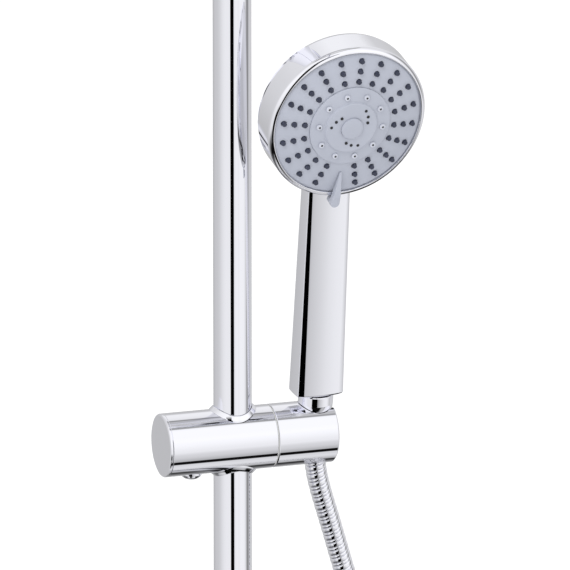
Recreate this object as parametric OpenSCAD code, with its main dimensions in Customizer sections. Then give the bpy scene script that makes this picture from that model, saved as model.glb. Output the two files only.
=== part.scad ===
// Rainfall shower column: a wall-fed riser rail with an overhead rain head,
// a sliding and tilting handset holder, a multi-spray handset and its hose.
// Millimetres. +X right, -Y into the room, +Z up. The origin is where the
// lower water inlet meets the wall.

/* [Riser rail] */
// Outer diameter of the rail
rail_d = 25; // [24:0.5:26]
// Wall thickness of the rail
rail_wall = 1.2; // [0.8:0.1:2]
// Distance from the wall to the rail's axis
wall_gap = 65; // [62:1:75]
// Height of the rail's top end above the inlet
rail_top = 1080; // [1060:10:1150]

/* [Slider and holder] */
// Height of the slider's axis above the inlet
slider_z = 700; // [690:5:710]
// Diameter of the slider and holder barrel
slider_d = 41.6; // [40:0.2:43]
// Length of the slider to the left of the rail's axis
slider_left = 49.3; // [46:0.1:54]
// Distance from the rail's axis to the seam between slider and holder
seam_x = 25.3; // [24:0.1:27]
// Distance from the rail's axis to the right end of the holder
holder_right = 66.9; // [66:0.1:70]
// Distance from the rail's axis to the handset's axis
cone_x = 56.2; // [55.5:0.1:57]
// Forward lean of the handset in its holder, in degrees
lean = 7.5; // [5:0.5:10]

/* [Handset] */
// Turn of the handset about its own axis, in degrees
handset_turn = 3; // [0:0.5:6]
// Width of the handle at its bottom end
handle_w_low = 32.6; // [30:0.1:34]
// Width of the handle below the head
handle_w_high = 29.4; // [28:0.1:32]
// Depth of the handle at its bottom end
handle_d_low = 20.5; // [19:0.1:24]
// Depth of the handle below the head
handle_d_high = 16.5; // [15:0.1:20]
// Distance along the handset from the slider's axis to the head's centre
head_z = 226.6; // [224:0.1:230]
// Distance of the spray face in front of the handset's axis
head_front = 30; // [29:0.1:32]
// Angle between the spray face and the handset's axis, in degrees
head_pitch = 8.7; // [6:0.1:12]
// Outer diameter of the handset's head
head_d = 107.8; // [107:0.1:110]
// Depth of the head's side wall
head_wall = 25.5; // [24:0.5:27]

/* [Overhead rain head] */
// Horizontal reach from the rail's axis to the rain head's centre
arm_reach = 350; // [330:5:370]
// Height of the arm's level run above the inlet
arm_z = 1270; // [1260:5:1290]
// Outer diameter of the arm
arm_d = 22; // [20:1:24]
// Diameter of the rain head
rain_d = 200; // [190:5:220]

/* [Hose] */
// Outer diameter of the hose
hose_d = 14; // [12:0.5:15]

/* [Hidden] */
$fn = 96;
slack = 0.05;           // radial clearance of a turning fit
rail_r = rail_d / 2;
slider_r = slider_d / 2;
arm_r = arm_d / 2;
head_r = head_d / 2;
rain_r = rain_d / 2;
hose_r = hose_d / 2;
hose_wall = 0.8;        // wall of the hose's metal sheath
thread_r = 10.48;       // outer radius of a G1/2 thread
bracket_z = 1020;       // height of the upper wall bracket
rain_y = -wall_gap - arm_reach;
ball_z = 1158;          // height of the rain head's ball joint
ball_r = 13;
nozzle_rings = [[45.2, 2.2], [38.4, 3.3], [31.4, 4.2]]; // handset rings: radius, height
spokes = 20;            // spoke places on the handset's face, one taken by the lever
first_spoke = -95.8;    // direction of the place that the lever takes
lever_turn = -94;       // direction of the spray lever
rain_rings = [[20, 6], [42, 12], [64, 18], [86, 24]];   // rain head rings: radius, count

// The hose's centreline, from the handset's nut to the diverter's outlet
hose_route = [
  [56.2, -64.2, 694], [60, -61, 668], [71, -58, 632], [82, -56, 596], [93, -55, 560],
  [104, -55, 524], [115, -55, 487], [125, -55, 450], [135, -56, 413], [144, -56, 376],
  [151, -57, 338], [158, -57, 300], [164, -58, 262], [169, -58, 224], [173, -59, 186],
  [176, -59, 148], [178, -60, 110], [179, -60, 72], [179, -61, 34], [179, -61, -4],
  [178, -62, -42], [177, -62, -80], [175, -63, -118], [173, -63, -156], [171, -64, -194],
  [169, -64, -232], [167, -65, -270], [162, -65, -308], [151, -65, -344], [129, -65, -374],
  [97, -65, -391], [60, -65, -390], [29, -65, -370], [11, -65, -337], [4, -65, -300],
  [1, -65, -262], [0, -65, -224], [0, -65, -186], [0, -65, -148], [0, -65, -110],
  [0, -65, -72]
];

chrome_colour = [0.82, 0.83, 0.85];
steel_colour = [0.62, 0.64, 0.66];
brass_colour = [0.75, 0.6, 0.3];
face_colour = [0.74, 0.77, 0.83];
nozzle_colour = [0.28, 0.3, 0.36];
nylon_colour = [0.35, 0.36, 0.38];
seal_colour = [0.1, 0.1, 0.11];

// ---------- places ----------

module at_rail(z = 0) translate([0, -wall_gap, z]) children();
module at_slider() at_rail(slider_z) children();
module along_x() rotate([0, 90, 0]) children();
module to_front() rotate([90, 0, 0]) children();   // +Z turns to -Y
module to_wall() rotate([-90, 0, 0]) children();   // +Z turns to +Y
module at_cone() at_slider() translate([cone_x, 0, 0]) rotate([lean, 0, 0]) children();
module at_handset() at_cone() rotate([0, 0, handset_turn]) children();
module at_face() at_handset() translate([0, -head_front, head_z])
  rotate([90 + head_pitch, 0, 0]) children();
module at_ball() translate([0, rain_y, ball_z]) children();
module at_bracket() translate([0, 0, bracket_z]) children();

// ---------- shared shapes ----------

module ring(r_out, r_in, h) difference() {
  cylinder(r = r_out, h = h);
  translate([0, 0, -1]) cylinder(r = r_in, h = h + 2);
}

// A disc or ring with its outer edges cut at 45 degrees
module bevelled_ring(r_out, r_in, h, bevel = 0.6) rotate_extrude() polygon([
  [r_in, 0], [r_out - bevel, 0], [r_out, bevel], [r_out, h - bevel], [r_out - bevel, h], [r_in, h]
]);

module o_ring(r, thick) rotate_extrude() translate([r, 0]) circle(r = thick / 2, $fn = 32);

// An open spring of round wire with its axis along Z
module coil_spring(r, wire, h, turns, per_turn = 18, sides = 6) {
  steps = turns * per_turn;
  points = [for (i = [0 : steps], j = [0 : sides - 1])
    let (a = 360 * i / per_turn, b = 360 * j / sides,
         q = r + wire / 2 * cos(b), z = wire / 2 + (h - wire) * i / steps + wire / 2 * sin(b))
    [q * cos(a), q * sin(a), z]];
  walls = [for (i = [0 : steps - 1], j = [0 : sides - 1])
    let (k = (j + 1) % sides)
    [i * sides + j, (i + 1) * sides + j, (i + 1) * sides + k, i * sides + k]];
  first = [for (j = [0 : sides - 1]) j];
  last = [for (j = [sides - 1 : -1 : 0]) steps * sides + j];
  polyhedron(points, concat(walls, [first], [last]), convexity = 10);
}

function unit(v) = v / norm(v);
// Direction of the route at its point i
function heading(path, i) =
  unit(path[min(i + 1, len(path) - 1)] - path[max(i - 1, 0)]);

// A round tube with a bore, swept along a list of points
module swept_tube(path, r_out, r_in, sides = 10) {
  last = len(path) - 1;
  inner = (last + 1) * sides;   // number of the bore's first point
  points = [for (r = [r_out, r_in], i = [0 : last], j = [0 : sides - 1])
    let (t = heading(path, i), u = unit(cross([0, 1, 0], t)), v = cross(t, u),
         a = 360 * j / sides)
    path[i] + r * cos(a) * u + r * sin(a) * v];
  walls = [for (i = [0 : last - 1], j = [0 : sides - 1])
    let (k = (j + 1) % sides)
    [i * sides + j, (i + 1) * sides + j, (i + 1) * sides + k, i * sides + k]];
  bore = [for (w = walls) [inner + w[0], inner + w[3], inner + w[2], inner + w[1]]];
  start = [for (j = [0 : sides - 1]) let (k = (j + 1) % sides) [j, k, inner + k, inner + j]];
  end = [for (q = start) [for (n = [3, 2, 1, 0]) q[n] + last * sides]];
  polyhedron(points, concat(walls, bore, start, end), convexity = 10);
}

// A quarter bend of tube that turns from +Z towards -Y about its start
module quarter_bend(r_bend, r_out, r_in) translate([0, -r_bend, 0]) rotate([90, 0, 90])
  rotate_extrude(angle = 90) translate([r_bend, 0]) difference() {
    circle(r = r_out);
    circle(r = r_in);
  }

// ---------- riser and diverter ----------

module riser_tube() color(chrome_colour) at_rail(22)
  ring(rail_r, rail_r - rail_wall, rail_top - 22);

module riser_nut() color(chrome_colour) at_rail(38)
  bevelled_ring(17, rail_r + slack, 14, 1.2);

module riser_o_ring() color(seal_colour) at_rail(29.2) o_ring(rail_r + 1.05, 2);

module diverter_body() color(chrome_colour) difference() {
  union() {
    at_rail(-32) rotate_extrude() polygon([
      [0, 0], [17, 0], [20, 1], [21.5, 3], [22, 6], [22, 62], [21, 66], [18, 69.5], [0, 69.5]]);
    at_rail() to_front() cylinder(r = 19, h = 34);
    at_rail() to_wall() cylinder(r = 15, h = wall_gap - 3);
  }
  at_rail(22) cylinder(r = rail_r + 0.02, h = 30);
  at_rail(28) cylinder(r = rail_r + 2.2, h = 2.4);
  at_rail() cylinder(r = 9, h = 30);
  at_rail() to_front() translate([0, 0, -13]) cylinder(r = 15, h = 60);
  at_rail(-50) cylinder(r = 7, h = 50);
  at_rail(-50) cylinder(r = 10.05, h = 32);
  at_rail() to_wall() cylinder(r = 7, h = wall_gap);
  at_rail() to_wall() translate([0, 0, wall_gap - 35.8]) cylinder(r = 9.55, h = 40);
}

module inlet_tail() color(brass_colour) difference() {
  union() {
    to_front() cylinder(r = 9.5, h = 34);
    to_wall() cylinder(r = thread_r, h = 15);
  }
  translate([0, 20, 0]) to_front() cylinder(r = 7, h = 60);
}

module inlet_washer() color(seal_colour) to_front() translate([0, 0, 34.1]) ring(9.4, 7.1, 1.6);

module lower_rosette() color(chrome_colour) to_front() rotate_extrude() polygon([
  [27, 0], [31, 0], [31, 5], [30, 7.5], [27, 9], [15.15, 9.8], [15.15, 8], [26, 7], [27, 6]]);

module cartridge_housing() color(nylon_colour) at_rail() to_front() difference() {
  translate([0, 0, -12.8]) cylinder(r = 14.9, h = 46.6);
  translate([0, 0, -8]) cylinder(r = 11, h = 31);
  translate([0, 0, -14]) cylinder(r = 5, h = 50);
  // side port up to the rail, and one down to the hose outlet
  rotate([90, 0, 0]) cylinder(r = 4, h = 40, center = true);
}

module ported_disc(turn) difference() {
  cylinder(r = 10.8, h = 3);
  for (a = [turn, turn + 180])
    rotate([0, 0, a]) translate([5.6, 0, -1]) cylinder(r = 2.6, h = 5);
}

module ceramic_disc_fixed() color("white") at_rail() to_front() translate([0, 0, 6])
  ported_disc(90);

module ceramic_disc_moving() color("white") at_rail() to_front() translate([0, 0, 9.05])
  ported_disc(90);

module cartridge_spindle() color(brass_colour) at_rail() to_front() {
  translate([0, 0, 12.1]) cylinder(r = 8, h = 3);
  translate([0, 0, 15]) cylinder(r = 4.92, h = 30);
}

module diverter_knob() color(chrome_colour) at_rail() to_front() translate([0, 0, 35.5])
  difference() {
    rotate_extrude() polygon([
      [0, 0], [17.5, 0], [19, 1.5], [19, 21], [17.5, 23], [15, 24], [0, 24.4]]);
    translate([0, 0, -1]) cylinder(r = 4.95, h = 10.6);
    translate([0, 0, 8]) cylinder(r = 2.05, h = 14);
    translate([0, 0, 15]) cylinder(r = 7.05, h = 12);
    // finger grooves
    for (a = [0 : 30 : 330])
      rotate([0, 0, a]) translate([20.6, 0, 4]) cylinder(r = 2.2, h = 15);
    // pointer
    translate([0, 12, 24.2]) rotate([90, 0, 0]) cylinder(r = 0.9, h = 8, center = true);
  }

module knob_screw() color(steel_colour) at_rail() to_front() translate([0, 0, 45.1]) {
  cylinder(r = 2, h = 5.5);
  translate([0, 0, 5.4]) difference() {
    cylinder(r = 4, h = 3);
    translate([0, 0, 1.2]) cylinder(r = 1.7, h = 3);
  }
}

module knob_cap() color(chrome_colour) at_rail() to_front() translate([0, 0, 56])
  rotate_extrude() polygon([[0, 0], [7, 0], [7, 3.4], [6.4, 4.1], [0, 4.6]]);

module outlet_nipple() color(brass_colour) at_rail(-46) difference() {
  cylinder(r = 10, h = 28);
  translate([0, 0, -1]) cylinder(r = 6.9, h = 40);
}

module lower_hose_nut() color(chrome_colour) at_rail(-54) difference() {
  rotate_extrude() polygon([
    [8.3, 0], [11.2, 0], [12.6, 2.4], [12.6, 18.6], [11.6, 20.2], [8.3, 20.2]]);
  translate([0, 0, 4.6]) cylinder(r = 10.1, h = 20);
  for (a = [0 : 30 : 330])
    rotate([0, 0, a]) translate([13.7, 0, 4]) cylinder(r = 1.6, h = 13);
}

module lower_hose_washer() color(seal_colour) at_rail(-47.6) ring(9.8, 6.4, 1.5);

module lower_hose_ferrule() color(chrome_colour) at_rail(-72) difference() {
  rotate_extrude() polygon([
    [5, 0], [7.7, 0], [8.1, 0.6], [8.1, 22.7], [9.8, 22.7], [9.8, 24.3], [5, 24.3]]);
  // crimp grooves
  for (z = [5, 9]) translate([0, 0, z]) rotate_extrude() translate([8.3, 0])
    circle(r = 0.7, $fn = 24);
}

// ---------- upper wall bracket ----------

module upper_wall_plate() color(steel_colour) at_bracket() to_front() difference() {
  union() {
    cylinder(r = 25, h = 3);
    cylinder(r = 8.5, h = 20);
  }
  for (x = [-17, 17]) translate([x, 0, -1]) cylinder(r = 2.6, h = 6);
}

module upper_rosette() color(chrome_colour) at_bracket() to_front() rotate_extrude() polygon([
  [26, 0], [29, 0], [29, 5], [28, 7.5], [25, 9], [12.15, 9.8], [12.15, 8], [25, 7], [26, 6]]);

module upper_post() color(chrome_colour) at_bracket() to_front() difference() {
  union() {
    translate([0, 0, 5]) cylinder(r = 12, h = wall_gap - 22);
    translate([0, 0, wall_gap - 17]) cylinder(r = 5, h = 4);
  }
  translate([0, 0, 4]) cylinder(r = 8.55, h = 20);
  translate([0, 0, 14.5]) rotate([90, 0, 0]) cylinder(r = 2.02, h = 20);
}

module upper_collar() color(chrome_colour) difference() {
  translate([0, -wall_gap, bracket_z - 16]) bevelled_ring(18, rail_r + 0.02, 32, 1.2);
  // flat that the post butts against
  translate([-20, -wall_gap + 17, bracket_z - 20]) cube([40, 10, 40]);
  at_bracket() translate([0, -wall_gap + 10, 0]) to_wall() cylinder(r = 5.02, h = 10);
  at_rail(bracket_z) along_x() cylinder(r = 2.02, h = 30);
}

module bracket_grub_screws() color(steel_colour) {
  at_bracket() to_front() translate([0, 0, 14.5]) rotate([90, 0, 0])
    translate([0, 0, 8.7]) cylinder(r = 2, h = 3);
  at_rail(bracket_z) along_x() translate([0, 0, rail_r + 0.1]) cylinder(r = 2, h = 5);
}

module top_socket() color(chrome_colour) at_rail(rail_top - 16) difference() {
  rotate_extrude() polygon([
    [0, 0], [15.4, 0], [16.4, 1.2], [16.4, 40], [15, 43], [0, 43]]);
  translate([0, 0, -1]) cylinder(r = rail_r + 0.02, h = 17);
  translate([0, 0, 10]) cylinder(r = 8, h = 20);
  translate([0, 0, 18]) cylinder(r = arm_r + slack, h = 30);
}

// ---------- overhead arm and rain head ----------

module gooseneck_arm() color(chrome_colour) {
  r_in = arm_r - 1.5;
  foot_z = rail_top + 2.2;
  bend_a = 80;
  bend_b = 70;
  tip_z = 1183;
  difference() {
    union() {
      translate([0, -wall_gap, foot_z]) ring(arm_r, r_in, arm_z - bend_a - foot_z);
      translate([0, -wall_gap, arm_z - bend_a]) quarter_bend(bend_a, arm_r, r_in);
      translate([0, -wall_gap - bend_a, arm_z]) to_front()
        ring(arm_r, r_in, arm_reach - bend_a - bend_b);
      translate([0, rain_y, arm_z - bend_b]) mirror([0, 1, 0])
        quarter_bend(bend_b, arm_r, r_in);
      translate([0, rain_y, tip_z]) ring(arm_r, r_in, arm_z - bend_b - tip_z);
    }
    for (z = [6, 14]) translate([0, -wall_gap, foot_z + z]) difference() {
      cylinder(r = arm_r + 1, h = 2.2, center = true);
      cylinder(r = arm_r - 0.85, h = 3, center = true);
    }
  }
}

module arm_o_rings() color(seal_colour)
  for (z = [6, 14]) at_rail(rail_top + 2.2 + z) o_ring(arm_r - 0.4, 0.8);

module ball_stud() color(chrome_colour) at_ball() difference() {
  union() {
    sphere(r = ball_r);
    cylinder(r = 6.5, h = 20);
    translate([0, 0, 17]) bevelled_ring(13, 0.1, 8, 0.8);
    translate([0, 0, 25]) cylinder(r = arm_r - 1.52, h = 12);
  }
  translate([0, 0, -20]) cylinder(r = 4, h = 60);
}

module socket_nut() color(chrome_colour) at_ball() difference() {
  rotate_extrude() polygon([
    [0, -7], [16.5, -7], [17.5, -6], [17.5, 5], [15, 8.6], [0, 8.6]]);
  sphere(r = ball_r + slack);
  translate([0, 0, -8]) cylinder(r = 15.05, h = 8);
  translate([0, 0, 7.2]) cylinder(r1 = 10.9, r2 = 13, h = 3);
}

module socket_base() color(steel_colour) at_ball() difference() {
  rotate_extrude() polygon([
    [0, -31], [9, -31], [9, -18], [15, -15.4], [17.3, -12], [17.3, -7.3], [15, -7.1],
    [15, -0.2], [0, -0.2]]);
  sphere(r = ball_r + slack);
  translate([0, 0, -40]) cylinder(r = 5, h = 40);
  translate([0, 0, -14.9]) cylinder(r = 9.05, h = 6);
}

module ball_seal() color(seal_colour) at_ball() translate([0, 0, -14.8]) ring(9, 5.2, 2.1);

module neck_ring() color(brass_colour) at_ball() translate([0, 0, -31.2]) difference() {
  union() {
    translate([0, 0, -3]) cylinder(r = 11.5, h = 3);
    cylinder(r = 4.98, h = 6);
  }
  translate([0, 0, -4]) cylinder(r = 3.6, h = 12);
}

module rain_cover() color(chrome_colour) at_ball() rotate_extrude() polygon([
  [9.05, -19], [12.5, -19], [14, -20.5], [14.5, -24], [18, -27.5], [40, -31.5],
  [rain_r - 4, -35], [rain_r - 1, -36.5], [rain_r, -38.5], [rain_r, -43], [rain_r - 1.8, -43],
  [rain_r - 1.8, -38.7], [rain_r - 4, -37], [40, -33.6], [20, -31], [9.05, -30.6]]);

module rain_face() color(chrome_colour) at_ball() difference() {
  translate([0, 0, -43]) cylinder(r = rain_r - 1.8, h = 2);
  for (q = rain_rings, i = [0 : q[1] - 1])
    rotate([0, 0, 360 * i / q[1]]) translate([q[0], 0, -45]) cylinder(r = 2.1, h = 6);
}

module rain_nozzles() color(nozzle_colour) at_ball() {
  translate([0, 0, -41]) cylinder(r = rain_r - 3, h = 1.2);
  for (q = rain_rings, i = [0 : q[1] - 1])
    rotate([0, 0, 360 * i / q[1]]) translate([q[0], 0, -45.2]) cylinder(r1 = 1.3, r2 = 2, h = 4.7);
}

// ---------- slider ----------

module rail_liner() color(nylon_colour) at_slider() difference() {
  translate([0, 0, -12.7]) ring(rail_r + 1, rail_r + 0.03, 25.4);
  translate([0, -20, -20]) cube([1.2, 20, 40]);
}

module slider_shell() color(chrome_colour) at_slider() difference() {
  translate([-slider_left + 2, 0, 0]) along_x()
    bevelled_ring(slider_r, 0, slider_left - 2 + seam_x - 0.5, 0.45);
  cylinder(r = rail_r + 1 + slack, h = 60, center = true);
  for (s = [-1, 1]) translate([0, 0, s * 23]) cylinder(r = rail_r + 2.5, h = 20, center = true);
  translate([-slider_left, 0, 0]) along_x() cylinder(r = 17, h = slider_left - 18);
  translate([-20, 0, 0]) along_x() cylinder(r = 5.1, h = 20);
  along_x() cylinder(r = 4, h = 40);
  translate([-28.5, 0, -30]) cylinder(r = 7.15, h = 20);
}

module slider_end_cap() color(chrome_colour) at_slider() translate([-slider_left, 0, 0])
  along_x() {
    rotate_extrude() polygon([
      [0, 0], [slider_r - 1.3, 0], [slider_r - 0.4, 0.4], [slider_r, 1.1], [slider_r, 1.7],
      [slider_r - 0.3, 2], [0, 2]]);
    translate([0, 0, 2]) ring(16.95, 14.5, 4);
  }

// Collar that seats in the shell and follows the barrel's curve above it
module slider_collar() color(chrome_colour) intersection() {
  translate([0, 0, 13]) ring(rail_r + 2.48, rail_r + 0.25, 14);
  translate([-30, 0, 0]) along_x() cylinder(r = slider_r + 2.8, h = 60);
}

module collar_top() at_slider() slider_collar();
module collar_bottom() at_slider() mirror([0, 0, 1]) slider_collar();

module tilt_screw() color(steel_colour) at_slider() along_x() difference() {
  union() {
    translate([0, 0, 16]) cylinder(r = 3.98, h = 21.5);
    translate([0, 0, 37]) cylinder(r = 7, h = 4.4);
  }
  translate([0, 0, 38.5]) cylinder(r = 2.6, h = 5);
}

module tilt_washer() color(steel_colour) at_slider() along_x()
  translate([0, 0, 33.2]) ring(8.4, 4.05, 3.7);

module friction_disc() color(nylon_colour) at_slider() along_x()
  translate([0, 0, seam_x - 0.5]) ring(slider_r - 0.5, 6, 0.6);

module brake_shoe() color(nylon_colour) at_slider() difference() {
  union() {
    translate([-21.5, 0, 0]) along_x() cylinder(r = 5, h = 10);
    translate([-38.5, 0, 0]) along_x() cylinder(r = 3, h = 19);
    translate([-39.5, 0, 0]) along_x() cylinder(r = 5.6, h = 1.6);
    translate([-33.3, 0, 0]) to_front() cylinder(r = 1.2, h = 14, center = true);
  }
  cylinder(r = rail_r + 1.12, h = 40, center = true);
}

module brake_spring() color(steel_colour) at_slider() translate([-47.2, 0, 0]) along_x()
  coil_spring(4.6, 0.9, 7.6, 4);

module release_button() color(chrome_colour) at_slider() translate([-28.5, 0, 0]) {
  translate([0, 0, -24.3]) rotate_extrude() polygon([
    [0, 0], [2.4, 0.2], [4.6, 0.9], [6.2, 2.1], [6.9, 3.4], [7, 4.4], [7, 9.9], [8.4, 9.9],
    [8.4, 11.2], [0, 11.2]]);
  // two wedge prongs that push the brake shoe's cross pin
  for (y = [-5.8, 4]) translate([0, y, 0]) rotate([90, 0, 0]) mirror([0, 0, 1])
    linear_extrude(height = 1.8)
      polygon([[-6.4, -13.2], [3, -13.2], [3, 3], [-2.1, 3], [-3.6, -0.6], [-6.4, -7.6]]);
}

module button_spring() color(steel_colour) at_slider() translate([-28.5, 0, -13])
  coil_spring(2.9, 0.6, 9.8, 6);

module holder_cup() color(chrome_colour) at_slider() difference() {
  translate([seam_x + 0.3, 0, 0]) along_x() rotate_extrude() polygon([
    [0, 0], [slider_r - 0.45, 0], [slider_r, 0.45], [slider_r, holder_right - seam_x - 1.3],
    [slider_r - 1, holder_right - seam_x - 0.3], [0, holder_right - seam_x - 0.3]]);
  along_x() cylinder(r = 4.04, h = 50);
  translate([33.1, 0, 0]) along_x() cylinder(r = 9, h = 20);
  translate([cone_x, 0, 0]) rotate([lean, 0, 0]) {
    translate([0, 0, -30]) cylinder(r1 = 9.4, r2 = 12.1, h = 60);
    translate([0, -8, -30]) cube([30, 16, 60]);
  }
}

// ---------- hose and its fittings ----------

module cone_nut() color(chrome_colour) at_cone() difference() {
  rotate_extrude() polygon([
    [7.6, -8], [9.2, -8], [10.05, -7], [11.3, 20.8], [11.5, 21.4], [11.5, 24.6], [11, 25.2],
    [7.6, 25.2]]);
  translate([0, 0, 9.5]) cylinder(r = 9.65, h = 20);
}

module upper_hose_washer() color(seal_colour) at_cone() translate([0, 0, 9.6]) ring(9.6, 5, 2.2);

module upper_hose_ferrule() color(steel_colour) at_cone() translate([0, 0, -4.8])
  ring(7.5, 5, 14.2);

module hose() color(chrome_colour) swept_tube(hose_route, hose_r, hose_r - hose_wall);

// ---------- handset ----------

// Rounded rectangular slab across the handle, centred on the handset's axis
module handle_slab(w, d, r, z, back = 0) translate([0, back, z]) linear_extrude(height = 0.6)
  offset(r = r, $fn = 32) square([w - 2 * r, d - 2 * r], center = true);

module handle_form(inset = 0) {
  low = 26 + inset;
  hull() {
    handle_slab(handle_w_low - 3 - 2 * inset, handle_d_low - 3 - 2 * inset, 3, low);
    handle_slab(handle_w_low - 2 * inset, handle_d_low - 2 * inset, 4, low + 1.6);
    handle_slab(handle_w_high - 2 * inset, handle_d_high - 2 * inset, 4, 180);
  }
  hull() {
    handle_slab(handle_w_high - 2 * inset, handle_d_high - 2 * inset, 4, 180);
    handle_slab(handle_w_high - 3 - 2 * inset, handle_d_high - 4 - 2 * inset, 4, 222 - inset, -1);
  }
}

module handle_shell() color(chrome_colour) difference() {
  at_handset() handle_form();
  at_handset() handle_form(2);
  at_handset() cylinder(r = 6.05, h = 200);
  at_face() rotate_extrude() polygon(concat(head_outline(), [[head_r, 1], [0, 1]]));
}

module handle_waterway() color(nylon_colour) at_handset() difference() {
  union() {
    translate([0, 0, 12.2]) cylinder(r = 9.57, h = 13.6);
    translate([0, 0, 25]) cylinder(r = 6, h = 172);
  }
  cylinder(r = 4.5, h = 200);
}

// The head's back and side, from its axis to its front rim
function head_outline(wall = 0) = [
  [0, -head_wall - 6 + wall], [14, -head_wall - 5.6 + wall], [28, -head_wall - 4.4 + wall],
  [40, -head_wall - 2.4 + wall], [48 - wall / 2, -head_wall - 0.2 + wall],
  [51.5 - wall, -head_wall + 1.8 + wall / 2], [head_r - 0.6 - wall, -head_wall + 4 + wall / 2],
  [head_r - wall, -head_wall + 6.2], [head_r - wall, -3]
];

module head_shell() color(chrome_colour) difference() {
  at_face() rotate_extrude() polygon(concat(head_outline(),
    [for (i = [len(head_outline()) - 1 : -1 : 0]) head_outline(2)[i]]));
  at_handset() translate([0, 0, 150]) cylinder(r = 6.1, h = 48);
}

module rim_ring() color(chrome_colour) at_face() rotate_extrude() polygon([
  [head_r - 2.2, -3], [head_r, -3], [head_r, 0], [head_r - 0.5, 0.8], [head_r - 1.2, 1.1],
  [head_r - 1.9, 0.9], [head_r - 2.2, 0.4]]);

// Valve plate behind the face, with its inlet on the waterway and a post to the head's back
module spray_valve() color(nylon_colour) difference() {
  union() {
    at_face() translate([0, 0, -15]) cylinder(r = 30, h = 8);
    at_face() translate([0, 0, -head_wall - 3.85]) cylinder(r = 5, h = head_wall - 10);
    at_handset() translate([-7, -14, 197]) cube([14, 15, 9]);
  }
  at_face() for (a = [0 : 60 : 240])
    rotate([0, 0, a]) translate([18, 0, -16]) cylinder(r = 4, h = 10);
  at_face() translate([0, 0, -11]) cylinder(r = 5.05, h = 10);
  at_handset() translate([0, -2.5, 196]) cylinder(r = 3, h = 7);
  at_handset() translate([0, -2, 202]) to_front() cylinder(r = 3, h = 12.5);
}

// Stands on each nozzle place of the handset's face
module at_nozzles() for (q = nozzle_rings, i = [1 : spokes - 1])
  rotate([0, 0, first_spoke + 360 * i / spokes]) translate([q[0], 0, q[1]]) children();

module face_plate() color(face_colour) at_face() {
  difference() {
    rotate_extrude() polygon([
      [27.8, 1.2], [27.8, 3.8], [33, 3.2], [40, 2.1], [46, 0.9], [49.6, 0.2], [51.3, -0.6],
      [51.3, -3], [49, -3], [48.5, -1.6], [40, -0.4]]);
    at_nozzles() translate([0, 0, -6]) cylinder(r = 1.95, h = 9, $fn = 32);
  }
  // fin of the spray lever, with its foot on the plate and its end over the rim
  rotate([0, 0, lever_turn]) {
    translate([42.5, 0, -0.5]) cylinder(r = 1.2, h = 3);
    translate([47.6, 0, -1.1]) cylinder(r = 1.6, h = 3.6);
    translate([57.6, 0, -4]) cylinder(r = 2.4, h = 7);
    hull() {
      translate([35, 0, 3.4]) cylinder(r = 0.7, h = 1, $fn = 32);
      translate([50, 0, 1.8]) cylinder(r = 2.2, h = 3.8, $fn = 32);
      translate([57, 0, 1.8]) cylinder(r = 3.1, h = 2.6, $fn = 32);
    }
  }
}

module nozzle_mat() color(nozzle_colour) at_face() {
  rotate_extrude() polygon([
    [28, -1], [28, 1], [40, -0.6], [48, -1.8], [48, -3.2], [40, -2.2]]);
  at_nozzles() translate([0, 0, -3.6]) cylinder(r1 = 1.9, r2 = 1.45, h = 4.4, $fn = 32);
}

module spray_hub() color(face_colour) at_face() {
  difference() {
    union() {
      translate([0, 0, -6.8]) cylinder(r = 27.7, h = 8);
      rotate_extrude() polygon([
        [0, 0], [27.7, 0], [27.7, 4.6], [27, 5], [18.3, 6.2], [17.6, 7.4], [17, 7.7], [0, 8]]);
      for (i = [0 : 9]) rotate([0, 0, 102.6 + 36 * i]) translate([22.2, 0, 5])
        cylinder(r1 = 1.9, r2 = 1.35, h = 2, $fn = 32);
    }
    translate([0, 0, 4]) cylinder(r = 7.5, h = 8);
    translate([0, 0, -8]) cylinder(r = 25, h = 8);
    for (i = [0 : 9]) rotate([0, 0, 102.6 + 36 * i]) translate([22.2, 0, 4])
      cylinder(r = 0.7, h = 5, $fn = 24);
    for (a = [34, 154, 274], k = [-1 : 1]) rotate([0, 0, a + 19 * k])
      translate([12.7 + 1.7 * k, 0, 5]) cylinder(r = 0.65, h = 5, $fn = 24);
  }
  translate([0, 0, -10.9]) cylinder(r = 5, h = 11.4);
}

module centre_cap() color(face_colour) at_face() translate([0, 0, 4.1]) rotate_extrude()
  polygon([[0, 0], [7.4, 0], [7.4, 4.8], [6.8, 5.4], [4, 5.7], [0, 5.8]]);

riser_tube();
riser_nut();
riser_o_ring();
diverter_body();
inlet_tail();
inlet_washer();
lower_rosette();
cartridge_housing();
ceramic_disc_fixed();
outlet_nipple();
lower_hose_nut();
lower_hose_washer();
lower_hose_ferrule();
upper_wall_plate();
upper_rosette();
upper_post();
upper_collar();
bracket_grub_screws();
top_socket();
gooseneck_arm();
arm_o_rings();
ball_stud();
socket_nut();
socket_base();
ball_seal();
neck_ring();
rain_cover();
rain_face();
rain_nozzles();
ceramic_disc_moving();
cartridge_spindle();
diverter_knob();
knob_screw();
knob_cap();
rail_liner();
slider_shell();
slider_end_cap();
collar_top();
collar_bottom();
tilt_screw();
tilt_washer();
friction_disc();
brake_shoe();
brake_spring();
release_button();
button_spring();
holder_cup();
cone_nut();
upper_hose_washer();
upper_hose_ferrule();
handle_shell();
handle_waterway();
head_shell();
rim_ring();
spray_valve();
face_plate();
nozzle_mat();
spray_hub();
centre_cap();
hose();
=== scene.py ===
import math

import bpy
from mathutils import Matrix, Vector


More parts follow.
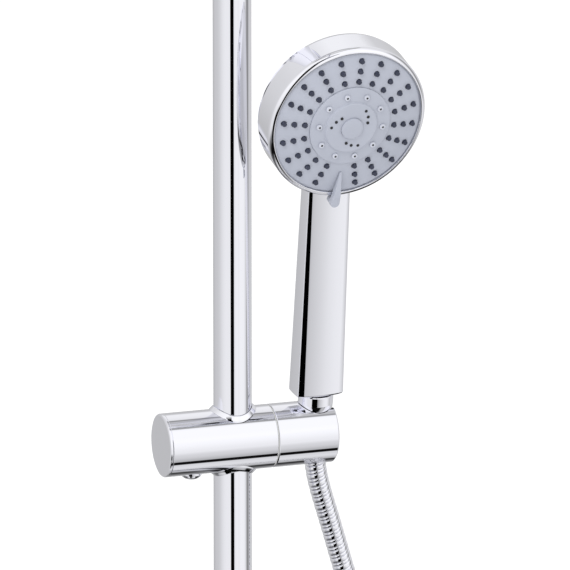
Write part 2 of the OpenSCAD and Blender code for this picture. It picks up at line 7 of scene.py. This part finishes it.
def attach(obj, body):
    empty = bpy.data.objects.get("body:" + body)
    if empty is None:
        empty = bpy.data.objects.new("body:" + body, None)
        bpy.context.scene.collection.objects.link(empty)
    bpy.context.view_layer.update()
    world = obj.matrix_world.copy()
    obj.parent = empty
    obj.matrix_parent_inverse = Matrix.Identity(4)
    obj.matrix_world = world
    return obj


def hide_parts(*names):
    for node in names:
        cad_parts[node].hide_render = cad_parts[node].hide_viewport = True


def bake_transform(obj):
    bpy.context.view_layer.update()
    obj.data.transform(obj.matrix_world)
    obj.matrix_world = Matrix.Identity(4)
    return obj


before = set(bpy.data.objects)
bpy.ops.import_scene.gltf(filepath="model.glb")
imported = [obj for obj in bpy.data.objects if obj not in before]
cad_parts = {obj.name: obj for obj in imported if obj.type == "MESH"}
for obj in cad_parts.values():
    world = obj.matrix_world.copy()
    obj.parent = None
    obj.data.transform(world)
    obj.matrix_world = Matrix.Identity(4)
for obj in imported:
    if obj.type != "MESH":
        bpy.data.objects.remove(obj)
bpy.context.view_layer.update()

MM = 0.001
SLIDER_AT = (0, -65, 700)    # the slider's middle on the rail, in millimetres


def mm(*values):
    """A point given in millimetres, in metres."""
    return Vector(values) * MM


# ---------- camera ----------

CAMERA_TURN = math.radians(19.3)      # the camera stands this far round to the left
CAMERA_RISE = math.radians(14.5)      # and looks down this much
CAMERA_DISTANCE = 6.0
# how far to the right of the slider's middle and above it the camera aims, in metres
AIM_RIGHT, AIM_UP = 0.03411, 0.10023
PIXELS = 570             # width of the picture
FOCAL_PIXELS = 9216      # focal length, in the same unit
SENSOR = 36              # width of the sensor, in millimetres

sin_t, cos_t = math.sin(CAMERA_TURN), math.cos(CAMERA_TURN)
sin_r, cos_r = math.sin(CAMERA_RISE), math.cos(CAMERA_RISE)
VIEW_RIGHT = Vector((cos_t, -sin_t, 0))
VIEW_UP = Vector((sin_t * sin_r, cos_t * sin_r, cos_r))
VIEW_BACK = Vector((-sin_t * cos_r, -cos_t * cos_r, sin_r))
target = mm(*SLIDER_AT) + VIEW_RIGHT * AIM_RIGHT + VIEW_UP * AIM_UP

camera = bpy.data.objects.new("camera", bpy.data.cameras.new("camera"))
camera.data.sensor_width = SENSOR
camera.data.lens = FOCAL_PIXELS * SENSOR / PIXELS
camera.data.clip_start, camera.data.clip_end = 0.1, 200
camera.matrix_world = Matrix.Translation(target + VIEW_BACK * CAMERA_DISTANCE) @ Matrix(
    (VIEW_RIGHT, VIEW_UP, VIEW_BACK)).transposed().to_4x4()
bpy.context.collection.objects.link(camera)
bpy.context.scene.camera = camera


# ---------- node materials ----------

def link(tree, out, node, socket):
    tree.links.new(out, node.inputs[socket])


def new_material(name, colour, rough, metal=0.0, coat=0.0):
    """A principled material and its tree, with the uniform values on the shader's own sockets."""
    material = bpy.data.materials.new(name)
    material.use_nodes = True
    tree = material.node_tree
    shader = tree.nodes["Principled BSDF"]
    shader.inputs["Base Color"].default_value = (*colour, 1)
    shader.inputs["Roughness"].default_value = rough
    shader.inputs["Metallic"].default_value = metal
    shader.inputs["Coat Weight"].default_value = coat
    return material, tree, shader


def object_noise(tree, scale, detail=3.0, stretch=(1, 1, 1)):
    """Noise fixed to the object, with scale in cycles per metre."""
    place = tree.nodes.new("ShaderNodeTexCoord")
    mapping = tree.nodes.new("ShaderNodeMapping")
    mapping.inputs["Scale"].default_value = stretch
    noise = tree.nodes.new("ShaderNodeTexNoise")
    noise.inputs["Scale"].default_value = scale
    noise.inputs["Detail"].default_value = detail
    link(tree, place.outputs["Object"], mapping, "Vector")
    link(tree, mapping.outputs["Vector"], noise, "Vector")
    return noise


def ramp(tree, stops, factor):
    """A colour ramp whose stops are (place, grey) or (place, (r, g, b))."""
    node = tree.nodes.new("ShaderNodeValToRGB")
    elements = node.color_ramp.elements
    while len(elements) > 1:
        elements.remove(elements[-1])
    for i, (at, value) in enumerate(stops):
        e = elements[0] if i == 0 else elements.new(at)
        e.position = at
        e.color = (*((value,) * 3 if isinstance(value, (int, float)) else value), 1)
    link(tree, factor, node, "Fac")
    return node


def spread(tree, factor, low, high):
    """factor from 0..1 mapped onto low..high."""
    node = tree.nodes.new("ShaderNodeMapRange")
    node.inputs["To Min"].default_value = low
    node.inputs["To Max"].default_value = high
    link(tree, factor, node, "Value")
    return node.outputs["Result"]


def bump(tree, shader, height, distance, strength):
    node = tree.nodes.new("ShaderNodeBump")
    node.inputs["Distance"].default_value = distance
    node.inputs["Strength"].default_value = strength
    link(tree, height, node, "Height")
    link(tree, node.outputs["Normal"], shader, "Normal")


def metal_material(name, colour, rough_low, rough_high, grain=60, wave=0.00002,
                   stretch=(1, 1, 1)):
    """Plated or bare metal: its gloss varies in faint patches and its surface has a slight wave."""
    material, tree, shader = new_material(name, colour, rough_low, metal=1.0)
    patches = object_noise(tree, grain, stretch=stretch)
    link(tree, spread(tree, patches.outputs["Fac"], rough_low, rough_high), shader, "Roughness")
    bump(tree, shader, object_noise(tree, grain * 1.6, stretch=stretch).outputs["Fac"], wave, 0.4)
    return material


def soft_material(name, dark, light, rough_low, rough_high, grain, depth, coat=0.0):
    """Moulded plastic or rubber: a fine mottle, a fine grain and uneven gloss."""
    material, tree, shader = new_material(name, light, rough_low, coat=coat)
    mottle = object_noise(tree, grain * 0.2, 5)
    tint = ramp(tree, [(0.3, dark), (0.7, light)], mottle.outputs["Fac"])
    link(tree, tint.outputs["Color"], shader, "Base Color")
    link(tree, spread(tree, mottle.outputs["Fac"], rough_low, rough_high), shader, "Roughness")
    bump(tree, shader, object_noise(tree, grain * 4, 2).outputs["Fac"], depth, 0.5)
    return material


def grey(level):
    """An 8-bit grey as linear light."""
    v = level / 255
    return v / 12.92 if v <= 0.04045 else ((v + 0.055) / 1.055) ** 2.4


def tone(r, g, b):
    return grey(r), grey(g), grey(b)


CHROME_TINT = (0.9, 0.903, 0.955)
MATERIALS = {
    "chrome": metal_material("chrome", CHROME_TINT, 0.01, 0.035, wave=0.000006),
    "plated_plastic": metal_material("plated_plastic", CHROME_TINT, 0.015, 0.05, wave=0.00001),
    "steel": metal_material("steel", (0.55, 0.56, 0.58), 0.2, 0.36, 300, 0.00001, (1, 1, 12)),
    "brass": metal_material("brass", (0.74, 0.56, 0.26), 0.18, 0.34, 220, 0.00002),
    "face_plastic": soft_material(
        "face_plastic", tone(168, 172, 184), tone(175, 179, 191), 0.3, 0.4, 90, 0.00003),
    "nozzle_rubber": soft_material(
        "nozzle_rubber", tone(44, 48, 64), tone(58, 62, 80), 0.3, 0.42, 240, 0.00003),
    "nylon": soft_material("nylon", (0.5, 0.5, 0.49), (0.58, 0.58, 0.57), 0.35, 0.5, 200, 0.00004),
    "seal_rubber": soft_material(
        "seal_rubber", (0.015, 0.015, 0.017), (0.025, 0.025, 0.027), 0.5, 0.7, 300, 0.00005),
    "ceramic_white": soft_material(
        "ceramic_white", (0.78, 0.77, 0.74), (0.84, 0.83, 0.8), 0.15, 0.25, 150, 0.00001, 0.3),
}
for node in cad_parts.values():
    for s in node.material_slots:
        s.material = MATERIALS[s.material.name.split(".")[0]]


# ---------- meshes ----------

def mesh_object(name, points, faces, body, slot_name, nodes=(), sharp=35):
    """A smooth-shaded piece with sharp edges above an angle; it may stand for CAD nodes."""
    mesh = bpy.data.meshes.new(name)
    mesh.from_pydata([tuple(p) for p in points], [], faces)
    mesh.validate()
    mesh.shade_smooth()
    mesh.set_sharp_from_angle(angle=math.radians(sharp))
    obj = bpy.data.objects.new(name, mesh)
    bpy.context.collection.objects.link(obj)
    mesh.materials.append(MATERIALS[slot_name])
    if nodes:
        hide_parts(*nodes)
    if body:
        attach(obj, body)
    return obj


def skin(rings, closed=True):
    """Points and faces of a skin through rings of equally many points.

    It closes round to the first ring, or else has a flat face at each end."""
    n, count = len(rings[0]), len(rings)
    points = [p for ring in rings for p in ring]
    faces = []
    for i in range(count if closed else count - 1):
        here, after = i * n, (i + 1) % count * n
        faces += [(here + j, here + (j + 1) % n, after + (j + 1) % n, after + j) for j in range(n)]
    if not closed:
        faces.append(tuple(range(n - 1, -1, -1)))
        faces.append(tuple((count - 1) * n + j for j in range(n)))
    return points, faces


def round_angles(count):
    """Angles of equal steps round a circle, in radians."""
    return [2 * math.pi * k / count for k in range(count)]


def lathe(name, profile, place, body, slot_name, turns, sharp, nodes=()):
    """A closed profile of (radius, height) in millimetres, turned about the Z axis of place."""
    rings = [[place @ mm(r * math.cos(a), r * math.sin(a), z) for a in round_angles(turns)]
             for r, z in profile]
    points, faces = skin(rings)
    return mesh_object(name, points, faces, body, slot_name, nodes, sharp)


def turned(angle, axis):
    return Matrix.Rotation(math.radians(angle), 4, axis)


def moved(x, y, z):
    return Matrix.Translation(mm(x, y, z))


HOLDER_AT = (56.2, 0, 0)     # the holder's middle, from the slider's
HOLDER_LEAN = 7.5            # how far the holder's axis leans forward, in degrees
HANDSET_TURN = 3             # how far the hand shower is turned on the conical nut
FACE_AT = (0, -30, 226.6)    # the spray face's middle, from the holder's
FACE_TURN = 98.7             # from the handle's axis to the direction in which the face sprays

# places of the slider, the conical nut in the holder, the hand shower and its spray face
AT_SLIDER = moved(*SLIDER_AT)
AT_CONE = AT_SLIDER @ moved(*HOLDER_AT) @ turned(HOLDER_LEAN, "X")
AT_HANDSET = AT_CONE @ turned(HANDSET_TURN, "Z")
AT_FACE = AT_HANDSET @ moved(*FACE_AT) @ turned(FACE_TURN, "X")

# ---------- hose ----------

# the CAD hose's route in millimetres, from the conical nut to the outlet
HOSE_ROUTE = [
    (56.2, -64.2, 694), (60, -61, 668), (71, -58, 632), (82, -56, 596), (93, -55, 560),
    (104, -55, 524), (115, -55, 487), (125, -55, 450), (135, -56, 413), (144, -56, 376),
    (151, -57, 338), (158, -57, 300), (164, -58, 262), (169, -58, 224), (173, -59, 186),
    (176, -59, 148), (178, -60, 110), (179, -60, 72), (179, -61, 34), (179, -61, -4),
    (178, -62, -42), (177, -62, -80), (175, -63, -118), (173, -63, -156), (171, -64, -194),
    (169, -64, -232), (167, -65, -270), (162, -65, -308), (151, -65, -344), (129, -65, -374),
    (97, -65, -391), (60, -65, -390), (29, -65, -370), (11, -65, -337), (4, -65, -300),
    (1, -65, -262), (0, -65, -224), (0, -65, -186), (0, -65, -148), (0, -65, -110),
    (0, -65, -72)]
HOSE_RADIUS = 7 * MM
RING_PITCH = 5.7 * MM
# one turn of the spiral: (share of the pitch, radius as a share of the hose's)
RING_SHAPE = [(0.0, 0.895), (0.025, 0.955), (0.07, 0.99), (0.13, 1.0), (0.47, 1.0), (0.53, 0.99),
              (0.58, 0.95), (0.605, 0.895), (0.63, 0.94), (0.68, 0.975), (0.74, 0.985),
              (0.88, 0.985), (0.94, 0.97), (0.975, 0.94)]
RING_END = 0.93    # the same at the plain end of a stretch
HOSE_SIDES = 32


def smooth_route(points, fine=24):
    """A Catmull-Rom curve through the points, as (position, number along the route) samples."""
    p = [mm(*q) for q in points]
    p = [p[0] * 2 - p[1]] + p + [p[-1] * 2 - p[-2]]
    out = []
    for i in range(1, len(p) - 2):
        for k in range(fine):
            t = k / fine
            a = p[i] * 2
            b = (p[i + 1] - p[i - 1]) * t
            c = (p[i - 1] * 2 - p[i] * 5 + p[i + 1] * 4 - p[i + 2]) * t * t
            d = (p[i] * 3 - p[i - 1] - p[i + 1] * 3 + p[i + 2]) * t ** 3
            out.append(((a + b + c + d) / 2, i - 1 + t))
    out.append((p[-2], len(points) - 1))
    return out


def along(samples):
    """Distance along the samples at each of them."""
    total, out = 0.0, [0.0]
    for (a, _), (b, _) in zip(samples, samples[1:]):
        total += (b - a).length
        out.append(total)
    return out


hose_line = smooth_route(HOSE_ROUTE)
hose_run = along(hose_line)


def hose_point(s):
    """Point and direction of the hose at distance s from its upper end."""
    lo, hi = 0, len(hose_run) - 1
    while hi - lo > 1:
        mid = (lo + hi) // 2
        lo, hi = (mid, hi) if hose_run[mid] <= s else (lo, mid)
    a, b = hose_line[lo][0], hose_line[hi][0]
    t = (s - hose_run[lo]) / (hose_run[hi] - hose_run[lo])
    return a.lerp(b, t), (b - a).normalized()


def run_to(route_point):
    """Distance along the hose at a point of its route, given by number."""
    return hose_run[next(i for i, q in enumerate(hose_line) if q[1] >= route_point)]


def hose_stretch(name, first, last, bodies):
    """One stretch of the hose, from route point first to last, as a spiral-ringed tube.

    It rides on one body; given two, it rides on neither and stays fixed where it is drawn."""
    s0, s1 = run_to(first), run_to(last)
    turn_first, turn_last = int(s0 / RING_PITCH) - 2, int(s1 / RING_PITCH) + 1
    places = [((n + share) * RING_PITCH, size)
              for n in range(turn_first, turn_last + 1) for share, size in RING_SHAPE]
    points, at_vertex = [], {}

    def vertex(k, j):
        """Number of the point at place k of the spiral and side j, held within the stretch."""
        k, j = (k, j) if j < HOSE_SIDES else (k + len(RING_SHAPE), 0)
        s, size = places[k][0] + RING_PITCH * j / HOSE_SIDES, places[k][1]
        key = ("start", j) if s <= s0 else ("end", j) if s >= s1 else (k, j)
        if key not in at_vertex:
            size = size if key[0] == k else RING_END
            p, t = hose_point(min(max(s, s0), s1))
            u = Vector((0, 1, 0)).cross(t).normalized()
            a = 2 * math.pi * j / HOSE_SIDES
            at_vertex[key] = len(points)
            points.append(p + (u * math.cos(a) + t.cross(u) * math.sin(a)) * HOSE_RADIUS * size)
        return at_vertex[key]

    faces = []
    for k in range(len(places) - len(RING_SHAPE) - 1):
        for j in range(HOSE_SIDES):
            quad = [vertex(k, j), vertex(k, j + 1), vertex(k + 1, j + 1), vertex(k + 1, j)]
            corners = [v for i, v in enumerate(quad) if v != quad[i - 1]]
            if len(set(corners)) == len(corners) >= 3:
                faces.append(tuple(corners))
    faces.append(tuple(at_vertex["start", j] for j in range(HOSE_SIDES - 1, -1, -1)))
    faces.append(tuple(at_vertex["end", j] for j in range(HOSE_SIDES)))
    hose = mesh_object(name, points, faces, None, "chrome", ["hose"], sharp=50)
    if len(bodies) == 2:
        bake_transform(hose)
    else:
        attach(hose, bodies[0])


hose_stretch("hose_at_nut", 0, 3, ("holder", "hose_end"))
hose_stretch("hose_at_holder", 3, 6, ("holder", "slider"))
hose_stretch("hose_at_slider", 6, 11, ("slider_bush", "slider"))
# the loop lies between the rail and the slider; it is fixed in place and follows neither
hose_stretch("hose_loop", 11, 33, ("column", "slider_bush"))
hose_stretch("hose_at_outlet", 33, 40, ("column",))

# ---------- handle ----------

# height, width, depth, shift back, width of the bevel along each corner, crown of the sides
HANDLE_SECTIONS = [
    (28.2, 30.6, 18.2, 0, 3.0, 1.5),
    (28.3, 31.3, 19.0, 0, 3.2, 1.6),
    (28.7, 32.1, 19.9, 0, 3.4, 1.7),
    (29.4, 32.6, 20.5, 0, 3.5, 1.7),
    (29.8, 32.59, 20.49, 0, 3.5, 1.7),
    (30.4, 32.58, 20.48, 0, 3.5, 1.7),
    (70, 31.7, 19.5, 0, 3.1, 1.7),
    (110, 30.9, 18.4, 0, 2.7, 1.6),
    (150, 30.1, 17.3, 0, 2.3, 1.6),
    (180, 29.4, 16.5, 0, 2.0, 1.5),
    (195, 28.4, 15.4, -0.4, 1.8, 1.4),
    (206, 27.4, 14.2, -0.7, 1.7, 1.3)]
BEVEL_FACING = 76    # where the front bevels face, in degrees from the side towards the front
BEVEL_SWING = 4.0    # how far a bevel's slight curve turns to each side of that
EDGE_RADIUS = 0.7    # of the soft edges beside a bevel


def arc(cx, cy, radius, first, last, steps):
    """Points of an arc about (cx, cy), from one angle in degrees to another."""
    for k in range(steps + 1):
        a = math.radians(first + (last - first) * k / steps)
        yield cx + radius * math.cos(a), cy + radius * math.sin(a)


def bevelled_corner(bevel):
    """A corner from the side (0 degrees) to the front (90), as offsets from its outer corner."""
    first, last = BEVEL_FACING - BEVEL_SWING, BEVEL_FACING + BEVEL_SWING
    outline = []
    x, y = EDGE_RADIUS, 0.0
    for radius, a0, a1, steps in ((EDGE_RADIUS, 0, first, 5),
                                  (bevel / math.radians(2 * BEVEL_SWING), first, last, 6),
                                  (EDGE_RADIUS, last, 90, 4)):
        a = math.radians(a0)
        arc_points = list(arc(x - radius * math.cos(a), y - radius * math.sin(a),
                              radius, a0, a1, steps))
        outline += arc_points[1:] if outline else arc_points
        x, y = outline[-1]
    right, top = max(p[0] for p in outline), max(p[1] for p in outline)
    return [(x - right, y - top) for x, y in outline]


def handle_outline(width, depth, bevel, crown, per_side=16):
    """Outline across the handle: four bevelled corners joined by crowned sides."""
    corner = bevelled_corner(bevel)
    quarter = [(width / 2 + x, depth / 2 + y) for x, y in corner]
    corners = [quarter, [(-x, y) for x, y in reversed(quarter)],
               [(-x, -y) for x, y in quarter], [(x, -y) for x, y in reversed(quarter)]]
    out = []
    for n, points_here in enumerate(corners):
        out += points_here
        (x0, y0), (x1, y1) = points_here[-1], corners[(n + 1) % 4][0]
        out += [(x0 + (x1 - x0) * k / per_side, y0 + (y1 - y0) * k / per_side)
                for k in range(1, per_side)]
    return [(x * (1 - 0.5 * crown / width * (2 * y / depth) ** 2),
             y * (1 - 2 * crown / depth * (2 * x / width) ** 2)) for x, y in out]


handle_rings = [[AT_HANDSET @ mm(x, y + back, z) for x, y in handle_outline(w, d, bevel, crown)]
                for z, w, d, back, bevel, crown in HANDLE_SECTIONS]
points, faces = skin(handle_rings, closed=False)
mesh_object("handle", points, faces, "handset", "plated_plastic", ["handle_shell"], sharp=60)

# ---------- saddle collars where the rail enters the slider ----------

BARREL_RADIUS = 20.8
# (radius from the rail's axis, height above the barrel's surface)
COLLAR_PROFILE = [(12.75, -3.5), (12.75, 2.3), (12.9, 2.5), (13.1, 2.5), (13.3, 2.3), (14.85, 0.5),
                  (15, 0.2), (15, -3.5)]
COLLAR_LONG, COLLAR_WIDE = 0.55, -0.85    # how much longer and narrower its foot is than round
FOOT_FROM, FOOT_OVER = 13.2, 1.8          # radius where the foot starts, and its width


def collar(name, side, node):
    """A ring round the rail whose top slopes down to the barrel's round surface."""
    rings = []
    for a in round_angles(144):
        ring = []
        for r, h in COLLAR_PROFILE:
            foot = max(r - FOOT_FROM, 0) / FOOT_OVER
            x, y = (r + COLLAR_LONG * foot) * math.cos(a), (r + COLLAR_WIDE * foot) * math.sin(a)
            ring.append(AT_SLIDER @ mm(x, y, side * (math.sqrt(BARREL_RADIUS ** 2 - y * y) + h)))
        rings.append(ring)
    points, faces = skin(rings)
    if side > 0:
        faces = [face[::-1] for face in faces]
    mesh_object(name, points, faces, "slider", "chrome", [node], sharp=40)


collar("saddle_top", 1, "collar_top")
collar("saddle_bottom", -1, "collar_bottom")

# ---------- painted shade: dark discs in the mouths of the small jets on the spray face ---

OUTER_RING = 22.2    # distance of the ten outer jets from the middle of the face
OUTER_JETS = [102.6 + 36 * i for i in range(10)]    # where they stand, in degrees
# top and radius of the dark disc of painted shade in each outer jet
OUTER_TOP, OUTER_RADIUS = 7.15, 0.72
MIST_ARCS = (34, 154, 274)         # where the middle jets of the three arcs of mist jets stand
MIST_RING, MIST_TOP = 12.7, 8.08   # distance and height of those
MIST_OUT, MIST_TURN, MIST_DROP = 1.7, 19, 0.18    # and how far off the next one in each arc is
MIST_RADIUS = 1.0
# depth and crown of the dark discs of painted shade
SHADE_DISC_DEPTH, SHADE_DISC_CROWN, CROWN_SHARE = 0.6, 0.05, 0.86    # the crown is a little narrower
SURROUND_PROFILE = [(0.74, 6.2), (1.95, 6.2), (1.85, 6.75), (1.55, 7.1), (1.15, 7.22), (0.74, 7.1)]


def jet_painted_shade(name, places, radius):
    """Small dark discs of painted shade in the mouths of the jets, where their bores are shaded, at
    (radius, angle, height) places.
    """
    points, faces = [], []
    for r, a, top in places:
        x, y = r * math.cos(math.radians(a)), r * math.sin(math.radians(a))
        levels = ((radius, top - SHADE_DISC_DEPTH), (radius, top),
                  (radius * CROWN_SHARE, top + SHADE_DISC_CROWN))
        shade_disc, shade_disc_faces = skin(
            [[AT_FACE @ mm(x + size * math.cos(b), y + size * math.sin(b), z)
              for b in round_angles(20)] for size, z in levels], closed=False)
        faces += [tuple(len(points) + i for i in face) for face in shade_disc_faces]
        points += shade_disc
    # the discs of painted shade take the dark seal rubber material
    mesh_object(name, points, faces, "spray_face", "seal_rubber")


# dark discs painted as shade in the bores of the outer jets and the mist jets
jet_painted_shade("outer_jet_painted_shade", [(OUTER_RING, a, OUTER_TOP) for a in OUTER_JETS], OUTER_RADIUS)
jet_painted_shade("mist_jet_painted_shade",
           [(MIST_RING + MIST_OUT * k, a + MIST_TURN * k, MIST_TOP - MIST_DROP * k)
            for a in MIST_ARCS for k in (-1, 0, 1)], MIST_RADIUS)

pale = soft_material(
    "pale_plastic", tone(188, 191, 202), tone(200, 203, 213), 0.3, 0.4, 90, 0.00002)
for i, a in enumerate(OUTER_JETS):
    jet = lathe("jet_surround_%d" % (i + 1), SURROUND_PROFILE,
                AT_FACE @ turned(a, "Z") @ moved(OUTER_RING, 0, 0), "spray_face", "face_plastic",
                turns=32, sharp=60)
    jet.data.materials[0] = pale

# ---------- rounded rim round the spray face, and the nut under the handle ----------

RIM_PROFILE = [(51.8, -3), (54, -3)] + list(arc(50.147, -2.552, 4.1, 20, 75, 12)) + [
    (50.9, 1.38), (50.65, 1.15), (50.6, 0.8), (50.6, 0.1), (51.8, 0.1)]
NUT_PROFILE = [
    (7.6, -8), (9.2, -8), (10.05, -7), (11.3, 20.8), (11.48, 21.3), (11.5, 21.5), (11.5, 21.7),
    (11.5, 27), (11.5, 27.3), (11, 27.8), (9.65, 27.8), (9.65, 9.5), (7.6, 9.5)]
lathe("rim", RIM_PROFILE, AT_FACE, "handset", "chrome", turns=256, sharp=50, nodes=["rim_ring"])
lathe("nut", NUT_PROFILE, AT_CONE, "hose_end", "chrome", turns=128, sharp=30, nodes=["cone_nut"])

# ---------- studio ----------

WORLD_STRENGTH = 1.02
# What the chrome mirrors, by direction. In the first four lists a stop is (turn, grey), with the
# turn in degrees from the direction to the camera, and positive towards the camera's right.
# Each list holds over its own part of the rise, which is in degrees above the horizon.
LEVEL_BAND = [
    (-180, 176), (-149, 182), (-118, 196), (-98, 198), (-81, 206), (-66, 219), (-52, 228),
    (-39, 232), (-11.2, 232), (-10.4, 1), (9.6, 1), (11, 228), (21, 236), (30, 238), (38, 233),
    (50, 240), (74, 238), (86, 216), (97, 140), (109, 132), (116, 190), (133, 202), (151, 200),
    (179, 176)]
LOW_BAND = [
    (-180, 178), (-120, 194), (-80, 206), (-60, 226), (-30, 228), (-26.5, 220), (-25.5, 1),
    (11.5, 1), (13, 150), (18, 165), (23, 185), (30, 202), (40, 214), (50, 227), (60, 234),
    (75, 238), (95, 236), (115, 222), (135, 200), (179, 178)]
DEEP_BAND = [
    (-180, 200), (-150, 190), (-120, 118), (-70, 116), (-40, 120), (-26.5, 150), (-25.5, 1),
    (11.5, 1), (14, 150), (24, 195), (34, 218), (50, 230), (64, 232), (74, 215), (82, 60),
    (88, 10), (158, 10), (166, 120), (179, 190)]
HIGH_BAND = [
    (-180, 222), (-164, 222), (-135, 206), (-118, 200), (-100, 202), (-40, 225), (0, 232),
    (60, 232), (90, 208), (130, 200), (158, 212), (179, 222)]
# how much of the low, deep and high bands there is, as (rise, share)
LOW_SHARE = [(-27, 1.0), (-17, 0.0)]
DEEP_SHARE = [(-68, 0.0), (-63, 1.0), (-46, 1.0), (-36, 0.0)]
HIGH_SHARE = [(22, 0.0), (34, 1.0)]
# a factor on all of it, as (rise, factor)
RISE_BAND = [
    (-90, 0.84), (-62, 0.84), (-58, 0.5), (-46, 0.6), (-42, 0.7), (-38, 0.82), (-33, 0.92),
    (-27, 0.98), (-14, 1.0), (-6, 1.05), (1, 1.1), (8, 1.14), (20, 1.19), (58, 1.19), (62, 1.1),
    (63.5, 0.45), (66, 0.42), (68, 0.75), (74, 0.88), (90, 0.88)]
# the dark line low in front: how strong it is by rise, how strong by turn, and its level
LINE_BAND = [(-61, 0.0), (-59.5, 1.0), (-50.5, 1.0), (-49.5, 0.0)]
LINE_FACED = [(-100, 0.0), (-75, 1.0), (110, 1.0), (130, 0.0)]
LINE_LEVEL = 0.004


def world_light():
    """A white studio, in which the chrome mirrors grey gradients and a few dark strips."""
    world = bpy.data.worlds.new("studio")
    bpy.context.scene.world = world
    world.use_nodes = True
    tree = world.node_tree
    tree.nodes.clear()
    out = tree.nodes.new("ShaderNodeOutputWorld")

    def math_node(operation, *values):
        node = tree.nodes.new("ShaderNodeMath")
        node.operation = operation
        for i, v in enumerate(values):
            if isinstance(v, (int, float)):
                node.inputs[i].default_value = v
            else:
                link(tree, v, node, i)
        return node.outputs[0]

    def dot(vector, direction):
        node = tree.nodes.new("ShaderNodeVectorMath")
        node.operation = "DOT_PRODUCT"
        link(tree, vector, node, 0)
        node.inputs[1].default_value = direction
        return node.outputs["Value"]

    # turn and rise of a direction, each brought to 0..1 for the ramps
    place = tree.nodes.new("ShaderNodeTexCoord").outputs["Generated"]
    front = Vector((-sin_t, -cos_t, 0))
    turn = math_node("ARCTAN2", dot(place, VIEW_RIGHT), dot(place, front))
    turn = math_node("MULTIPLY_ADD", turn, 1 / (2 * math.pi), 0.5)
    rise = math_node("ARCSINE", dot(place, (0, 0, 1)))
    rise = math_node("MULTIPLY_ADD", rise, 1 / math.pi, 0.5)

    def by_turn(stops):
        return ramp(tree, [(a / 360 + 0.5, v) for a, v in stops], turn).outputs["Color"]

    def by_rise(stops):
        return ramp(tree, [(e / 180 + 0.5, v) for e, v in stops], rise).outputs["Color"]

    def greys(stops):
        return by_turn([(a, grey(g)) for a, g in stops])

    def mixed(factor, a, b, blend="MIX"):
        node = tree.nodes.new("ShaderNodeMix")
        node.data_type = "RGBA"
        node.blend_type = blend
        if factor is None:
            node.inputs["Factor"].default_value = 1.0
        else:
            link(tree, factor, node, "Factor")
        link(tree, a, node, 6)
        link(tree, b, node, 7)
        return node.outputs[2]

    around = mixed(by_rise(LOW_SHARE), greys(LEVEL_BAND), greys(LOW_BAND))
    around = mixed(by_rise(DEEP_SHARE), around, greys(DEEP_BAND))
    around = mixed(by_rise(HIGH_SHARE), around, greys(HIGH_BAND))
    bright = mixed(None, around, by_rise(RISE_BAND), "MULTIPLY")
    line = mixed(None, by_rise(LINE_BAND), by_turn(LINE_FACED), "MULTIPLY")
    picture = mixed(line, bright, by_rise([(0, LINE_LEVEL)]))

    mirrored = tree.nodes.new("ShaderNodeBackground")
    link(tree, picture, mirrored, "Color")
    mirrored.inputs["Strength"].default_value = 1.0 / CHROME_TINT[0]
    plain = tree.nodes.new("ShaderNodeBackground")
    plain.inputs["Color"].default_value = (1, 1, 1, 1)
    plain.inputs["Strength"].default_value = WORLD_STRENGTH
    choose = tree.nodes.new("ShaderNodeMixShader")
    link(tree, tree.nodes.new("ShaderNodeLightPath").outputs["Is Glossy Ray"], choose, "Fac")
    link(tree, plain.outputs[0], choose, 1)
    link(tree, mirrored.outputs[0], choose, 2)
    link(tree, choose.outputs[0], out, "Surface")


world_light()

# pale floor below the hose's loop, and a soft light from the upper left
FLOOR_Z, FLOOR_HALF = -0.56, 60
floor_points = [Vector((x * FLOOR_HALF, y * FLOOR_HALF, FLOOR_Z))
                for x, y in ((-1, -1), (1, -1), (1, 1), (-1, 1))]
floor_mesh = bpy.data.meshes.new("floor")
floor_mesh.from_pydata(floor_points, [], [(0, 1, 2, 3)])
floor = bpy.data.objects.new("floor", floor_mesh)
bpy.context.collection.objects.link(floor)
floor_material, floor_tree, floor_shader = new_material("floor", (0.95, 0.95, 0.955), 0.8)
floor_tint = ramp(floor_tree, [(0.3, (0.92, 0.92, 0.93)), (0.7, (0.95, 0.95, 0.955))],
                  object_noise(floor_tree, 2.0).outputs["Fac"])
link(floor_tree, floor_tint.outputs["Color"], floor_shader, "Base Color")
floor_shader.inputs["Emission Color"].default_value = (1, 1, 1, 1)
floor_shader.inputs["Emission Strength"].default_value = 0.12
floor_mesh.materials.append(floor_material)
floor.visible_glossy = False


def area_light(name, place, aim, size, power):
    light = bpy.data.lights.new(name, "AREA")
    light.size = size
    light.energy = power
    obj = bpy.data.objects.new(name, light)
    obj.location = place
    obj.rotation_mode = "QUATERNION"
    obj.rotation_quaternion = (Vector(aim) - Vector(place)).to_track_quat("-Z", "Y")
    obj.visible_glossy = False
    bpy.context.collection.objects.link(obj)


area_light("key", (-1.6, -2.4, 3.4), (0, -0.1, 0.7), 1.6, 60)
bpy.context.scene.view_settings.view_transform = "Standard"
